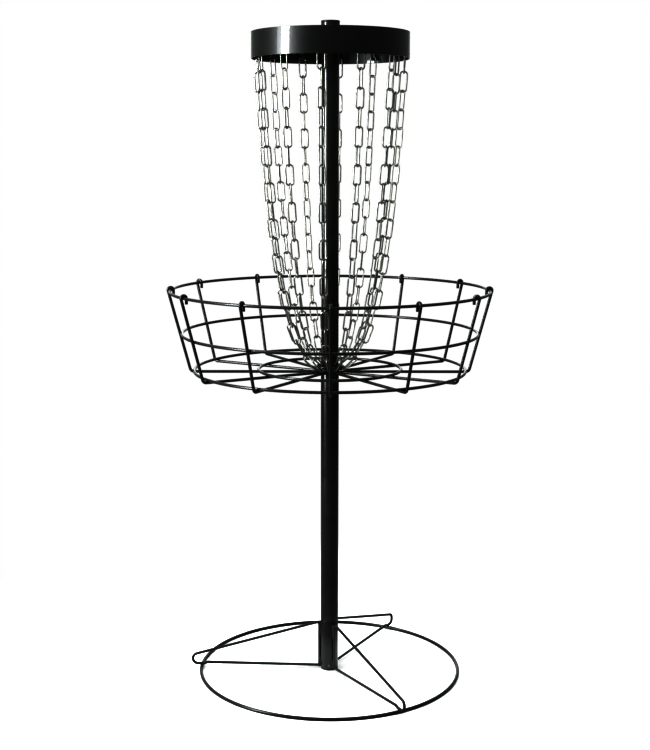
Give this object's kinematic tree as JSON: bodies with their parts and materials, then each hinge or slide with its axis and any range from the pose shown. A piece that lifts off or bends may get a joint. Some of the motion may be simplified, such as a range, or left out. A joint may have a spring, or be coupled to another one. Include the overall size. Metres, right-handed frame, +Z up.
{
  "type": "disc golf basket",
  "caption": "Free-standing disc golf target: pole on a ring base with wire legs, an open wire tray, and chains hanging from a round band down to a ring on the pole.",
  "frame": {"origin": "on the ground, at the centre of the pole", "axes": "+Z up the pole; -Y is the front"},
  "size_m": [0.6936, 0.6936, 1.3975],
  "materials": {
    "black_tube": "satin black powder coat",
    "black_wire": "gloss black powder coat on wire",
    "gloss_black_band": "high gloss black",
    "zinc_chain": "bright zinc plate",
    "plain_steel": "plain steel",
    "black_cap": "moulded black plastic",
    "rivet_aluminium": "plain aluminium"
  },
  "bodies": {
    "base": {"base_tube": "black_tube", "base_spigot": "plain_steel", "foot_cap": "black_cap", "foot_rivet": "rivet_aluminium", "base_ring": "black_wire", "leg_left": "black_wire", "leg_front_right": "black_wire", "leg_rear_right": "black_wire"},
    "lower_pole": {"lower_pole": "black_tube"},
    "tray": {"basket_hub": "black_wire", "basket_ribs": "black_wire", "basket_rim": "black_wire", "basket_middle_ring": "black_wire", "basket_floor_ring_outer": "black_wire", "basket_floor_ring_inner": "black_wire"},
    "upper_pole": {"upper_pole": "black_tube"},
    "hanger": {"hanger_sleeve": "black_tube", "hanger_disc": "black_tube", "hanger_hooks": "black_wire", "band": "gloss_black_band", "pole_cap": "black_cap"},
    "chain_ring": {"chain_ring": "black_wire"},
    "chain_01_upper": {"chain_01_upper": "zinc_chain"},
    "chain_01_middle": {"chain_01_middle": "zinc_chain"},
    "chain_01_lower": {"chain_01_lower": "zinc_chain"},
    "chain_02_upper": {"chain_02_upper": "zinc_chain"},
    "chain_02_middle": {"chain_02_middle": "zinc_chain"},
    "chain_02_lower": {"chain_02_lower": "zinc_chain"},
    "chain_03_upper": {"chain_03_upper": "zinc_chain"},
    "chain_03_middle": {"chain_03_middle": "zinc_chain"},
    "chain_03_lower": {"chain_03_lower": "zinc_chain"},
    "chain_04_upper": {"chain_04_upper": "zinc_chain"},
    "chain_04_middle": {"chain_04_middle": "zinc_chain"},
    "chain_04_lower": {"chain_04_lower": "zinc_chain"},
    "chain_05_upper": {"chain_05_upper": "zinc_chain"},
    "chain_05_middle": {"chain_05_middle": "zinc_chain"},
    "chain_05_lower": {"chain_05_lower": "zinc_chain"},
    "chain_06_upper": {"chain_06_upper": "zinc_chain"},
    "chain_06_middle": {"chain_06_middle": "zinc_chain"},
    "chain_06_lower": {"chain_06_lower": "zinc_chain"},
    "chain_07_upper": {"chain_07_upper": "zinc_chain"},
    "chain_07_middle": {"chain_07_middle": "zinc_chain"},
    "chain_07_lower": {"chain_07_lower": "zinc_chain"},
    "chain_08_upper": {"chain_08_upper": "zinc_chain"},
    "chain_08_middle": {"chain_08_middle": "zinc_chain"},
    "chain_08_lower": {"chain_08_lower": "zinc_chain"},
    "chain_09_upper": {"chain_09_upper": "zinc_chain"},
    "chain_09_middle": {"chain_09_middle": "zinc_chain"},
    "chain_09_lower": {"chain_09_lower": "zinc_chain"},
    "chain_10_upper": {"chain_10_upper": "zinc_chain"},
    "chain_10_middle": {"chain_10_middle": "zinc_chain"},
    "chain_10_lower": {"chain_10_lower": "zinc_chain"},
    "chain_11_upper": {"chain_11_upper": "zinc_chain"},
    "chain_11_middle": {"chain_11_middle": "zinc_chain"},
    "chain_11_lower": {"chain_11_lower": "zinc_chain"},
    "chain_12_upper": {"chain_12_upper": "zinc_chain"},
    "chain_12_middle": {"chain_12_middle": "zinc_chain"},
    "chain_12_lower": {"chain_12_lower": "zinc_chain"}
  },
  "joints": [
    {"name": "lower_pole_lift", "type": "slide", "parent": "base", "child": "lower_pole", "axis": [0, 0, 1], "range_m": [0, 0.055]},
    {"name": "tray_turn", "type": "hinge", "parent": "lower_pole", "child": "tray", "pos_m": [0, 0, 0.667], "axis": [0, 0, 1], "continuous": true},
    {"name": "upper_pole_lift", "type": "slide", "parent": "lower_pole", "child": "upper_pole", "axis": [0, 0, 1], "range_m": [0, 0.07]},
    {"name": "hanger_turn", "type": "hinge", "parent": "upper_pole", "child": "hanger", "pos_m": [0, 0, 1.36], "axis": [0, 0, 1], "continuous": true},
    {"name": "chain_ring_lift", "type": "slide", "parent": "hanger", "child": "chain_ring", "axis": [0, 0, 1], "range_m": [0, 0.003]},
    {"name": "chain_01_swing", "type": "hinge", "parent": "hanger", "child": "chain_01_upper", "pos_m": [-0.01883, -0.15337, 1.3335], "axis": [-0.9925, 0.1219, 0], "range_deg": [-5, 5]},
    {"name": "chain_01_bend_high", "type": "hinge", "parent": "chain_01_upper", "child": "chain_01_middle", "pos_m": [-0.01684, -0.13717, 1.10399], "axis": [-0.9925, 0.1219, 0], "range_deg": [-11.4, 11.4]},
    {"name": "chain_01_bend_low", "type": "hinge", "parent": "chain_01_middle", "child": "chain_01_lower", "pos_m": [-0.01357, -0.11052, 0.87884], "axis": [-0.9925, 0.1219, 0], "range_deg": [-7.4, 7.4]},
    {"name": "chain_02_swing", "type": "hinge", "parent": "hanger", "child": "chain_02_upper", "pos_m": [0.06038, -0.14224, 1.3335], "axis": [-0.9205, -0.3907, 0], "range_deg": [-5, 5]},
    {"name": "chain_02_bend_high", "type": "hinge", "parent": "chain_02_upper", "child": "chain_02_middle", "pos_m": [0.054, -0.12721, 1.10399], "axis": [-0.9205, -0.3907, 0], "range_deg": [-11.4, 11.4]},
    {"name": "chain_02_bend_low", "type": "hinge", "parent": "chain_02_middle", "child": "chain_02_lower", "pos_m": [0.04351, -0.1025, 0.87884], "axis": [-0.9205, -0.3907, 0], "range_deg": [-7.4, 7.4]},
    {"name": "chain_03_swing", "type": "hinge", "parent": "hanger", "child": "chain_03_upper", "pos_m": [0.12341, -0.09299, 1.3335], "axis": [-0.6018, -0.7986, 0], "range_deg": [-5, 5]},
    {"name": "chain_03_bend_high", "type": "hinge", "parent": "chain_03_upper", "child": "chain_03_middle", "pos_m": [0.11037, -0.08317, 1.10399], "axis": [-0.6018, -0.7986, 0], "range_deg": [-11.4, 11.4]},
    {"name": "chain_03_bend_low", "type": "hinge", "parent": "chain_03_middle", "child": "chain_03_lower", "pos_m": [0.08893, -0.06701, 0.87884], "axis": [-0.6018, -0.7986, 0], "range_deg": [-7.4, 7.4]},
    {"name": "chain_04_swing", "type": "hinge", "parent": "hanger", "child": "chain_04_upper", "pos_m": [0.15337, -0.01883, 1.3335], "axis": [-0.1219, -0.9925, 0], "range_deg": [-5, 5]},
    {"name": "chain_04_bend_high", "type": "hinge", "parent": "chain_04_upper", "child": "chain_04_middle", "pos_m": [0.13717, -0.01684, 1.10399], "axis": [-0.1219, -0.9925, 0], "range_deg": [-11.4, 11.4]},
    {"name": "chain_04_bend_low", "type": "hinge", "parent": "chain_04_middle", "child": "chain_04_lower", "pos_m": [0.11052, -0.01357, 0.87884], "axis": [-0.1219, -0.9925, 0], "range_deg": [-7.4, 7.4]},
    {"name": "chain_05_swing", "type": "hinge", "parent": "hanger", "child": "chain_05_upper", "pos_m": [0.14224, 0.06038, 1.3335], "axis": [0.3907, -0.9205, 0], "range_deg": [-5, 5]},
    {"name": "chain_05_bend_high", "type": "hinge", "parent": "chain_05_upper", "child": "chain_05_middle", "pos_m": [0.12721, 0.054, 1.10399], "axis": [0.3907, -0.9205, 0], "range_deg": [-11.4, 11.4]},
    {"name": "chain_05_bend_low", "type": "hinge", "parent": "chain_05_middle", "child": "chain_05_lower", "pos_m": [0.1025, 0.04351, 0.87884], "axis": [0.3907, -0.9205, 0], "range_deg": [-7.4, 7.4]},
    {"name": "chain_06_swing", "type": "hinge", "parent": "hanger", "child": "chain_06_upper", "pos_m": [0.09299, 0.12341, 1.3335], "axis": [0.7986, -0.6018, 0], "range_deg": [-5, 5]},
    {"name": "chain_06_bend_high", "type": "hinge", "parent": "chain_06_upper", "child": "chain_06_middle", "pos_m": [0.08317, 0.11037, 1.10399], "axis": [0.7986, -0.6018, 0], "range_deg": [-11.4, 11.4]},
    {"name": "chain_06_bend_low", "type": "hinge", "parent": "chain_06_middle", "child": "chain_06_lower", "pos_m": [0.06701, 0.08893, 0.87884], "axis": [0.7986, -0.6018, 0], "range_deg": [-7.4, 7.4]},
    {"name": "chain_07_swing", "type": "hinge", "parent": "hanger", "child": "chain_07_upper", "pos_m": [0.01883, 0.15337, 1.3335], "axis": [0.9925, -0.1219, 0], "range_deg": [-5, 5]},
    {"name": "chain_07_bend_high", "type": "hinge", "parent": "chain_07_upper", "child": "chain_07_middle", "pos_m": [0.01684, 0.13717, 1.10399], "axis": [0.9925, -0.1219, 0], "range_deg": [-11.4, 11.4]},
    {"name": "chain_07_bend_low", "type": "hinge", "parent": "chain_07_middle", "child": "chain_07_lower", "pos_m": [0.01357, 0.11052, 0.87884], "axis": [0.9925, -0.1219, 0], "range_deg": [-7.4, 7.4]},
    {"name": "chain_08_swing", "type": "hinge", "parent": "hanger", "child": "chain_08_upper", "pos_m": [-0.06038, 0.14224, 1.3335], "axis": [0.9205, 0.3907, 0], "range_deg": [-5, 5]},
    {"name": "chain_08_bend_high", "type": "hinge", "parent": "chain_08_upper", "child": "chain_08_middle", "pos_m": [-0.054, 0.12721, 1.10399], "axis": [0.9205, 0.3907, 0], "range_deg": [-11.4, 11.4]},
    {"name": "chain_08_bend_low", "type": "hinge", "parent": "chain_08_middle", "child": "chain_08_lower", "pos_m": [-0.04351, 0.1025, 0.87884], "axis": [0.9205, 0.3907, 0], "range_deg": [-7.4, 7.4]},
    {"name": "chain_09_swing", "type": "hinge", "parent": "hanger", "child": "chain_09_upper", "pos_m": [-0.12341, 0.09299, 1.3335], "axis": [0.6018, 0.7986, 0], "range_deg": [-5, 5]},
    {"name": "chain_09_bend_high", "type": "hinge", "parent": "chain_09_upper", "child": "chain_09_middle", "pos_m": [-0.11037, 0.08317, 1.10399], "axis": [0.6018, 0.7986, 0], "range_deg": [-11.4, 11.4]},
    {"name": "chain_09_bend_low", "type": "hinge", "parent": "chain_09_middle", "child": "chain_09_lower", "pos_m": [-0.08893, 0.06701, 0.87884], "axis": [0.6018, 0.7986, 0], "range_deg": [-7.4, 7.4]},
    {"name": "chain_10_swing", "type": "hinge", "parent": "hanger", "child": "chain_10_upper", "pos_m": [-0.15337, 0.01883, 1.3335], "axis": [0.1219, 0.9925, 0], "range_deg": [-5, 5]},
    {"name": "chain_10_bend_high", "type": "hinge", "parent": "chain_10_upper", "child": "chain_10_middle", "pos_m": [-0.13717, 0.01684, 1.10399], "axis": [0.1219, 0.9925, 0], "range_deg": [-11.4, 11.4]},
    {"name": "chain_10_bend_low", "type": "hinge", "parent": "chain_10_middle", "child": "chain_10_lower", "pos_m": [-0.11052, 0.01357, 0.87884], "axis": [0.1219, 0.9925, 0], "range_deg": [-7.4, 7.4]},
    {"name": "chain_11_swing", "type": "hinge", "parent": "hanger", "child": "chain_11_upper", "pos_m": [-0.14224, -0.06038, 1.3335], "axis": [-0.3907, 0.9205, 0], "range_deg": [-5, 5]},
    {"name": "chain_11_bend_high", "type": "hinge", "parent": "chain_11_upper", "child": "chain_11_middle", "pos_m": [-0.12721, -0.054, 1.10399], "axis": [-0.3907, 0.9205, 0], "range_deg": [-11.4, 11.4]},
    {"name": "chain_11_bend_low", "type": "hinge", "parent": "chain_11_middle", "child": "chain_11_lower", "pos_m": [-0.1025, -0.04351, 0.87884], "axis": [-0.3907, 0.9205, 0], "range_deg": [-7.4, 7.4]},
    {"name": "chain_12_swing", "type": "hinge", "parent": "hanger", "child": "chain_12_upper", "pos_m": [-0.09299, -0.12341, 1.3335], "axis": [-0.7986, 0.6018, 0], "range_deg": [-5, 5]},
    {"name": "chain_12_bend_high", "type": "hinge", "parent": "chain_12_upper", "child": "chain_12_middle", "pos_m": [-0.08317, -0.11037, 1.10399], "axis": [-0.7986, 0.6018, 0], "range_deg": [-11.4, 11.4]},
    {"name": "chain_12_bend_low", "type": "hinge", "parent": "chain_12_middle", "child": "chain_12_lower", "pos_m": [-0.06701, -0.08893, 0.87884], "axis": [-0.7986, 0.6018, 0], "range_deg": [-7.4, 7.4]}
  ],
  "couplings": [
    {"joint": "chain_01_bend_high", "follows": "chain_01_swing", "ratio": -2.1853},
    {"joint": "chain_01_bend_low", "follows": "chain_01_swing", "ratio": 1.3724},
    {"joint": "chain_02_bend_high", "follows": "chain_02_swing", "ratio": -2.1853},
    {"joint": "chain_02_bend_low", "follows": "chain_02_swing", "ratio": 1.3724},
    {"joint": "chain_03_bend_high", "follows": "chain_03_swing", "ratio": -2.1853},
    {"joint": "chain_03_bend_low", "follows": "chain_03_swing", "ratio": 1.3724},
    {"joint": "chain_04_bend_high", "follows": "chain_04_swing", "ratio": -2.1853},
    {"joint": "chain_04_bend_low", "follows": "chain_04_swing", "ratio": 1.3724},
    {"joint": "chain_05_bend_high", "follows": "chain_05_swing", "ratio": -2.1853},
    {"joint": "chain_05_bend_low", "follows": "chain_05_swing", "ratio": 1.3724},
    {"joint": "chain_06_bend_high", "follows": "chain_06_swing", "ratio": -2.1853},
    {"joint": "chain_06_bend_low", "follows": "chain_06_swing", "ratio": 1.3724},
    {"joint": "chain_07_bend_high", "follows": "chain_07_swing", "ratio": -2.1853},
    {"joint": "chain_07_bend_low", "follows": "chain_07_swing", "ratio": 1.3724},
    {"joint": "chain_08_bend_high", "follows": "chain_08_swing", "ratio": -2.1853},
    {"joint": "chain_08_bend_low", "follows": "chain_08_swing", "ratio": 1.3724},
    {"joint": "chain_09_bend_high", "follows": "chain_09_swing", "ratio": -2.1853},
    {"joint": "chain_09_bend_low", "follows": "chain_09_swing", "ratio": 1.3724},
    {"joint": "chain_10_bend_high", "follows": "chain_10_swing", "ratio": -2.1853},
    {"joint": "chain_10_bend_low", "follows": "chain_10_swing", "ratio": 1.3724},
    {"joint": "chain_11_bend_high", "follows": "chain_11_swing", "ratio": -2.1853},
    {"joint": "chain_11_bend_low", "follows": "chain_11_swing", "ratio": 1.3724},
    {"joint": "chain_12_bend_high", "follows": "chain_12_swing", "ratio": -2.1853},
    {"joint": "chain_12_bend_low", "follows": "chain_12_swing", "ratio": 1.3724}
  ]
}
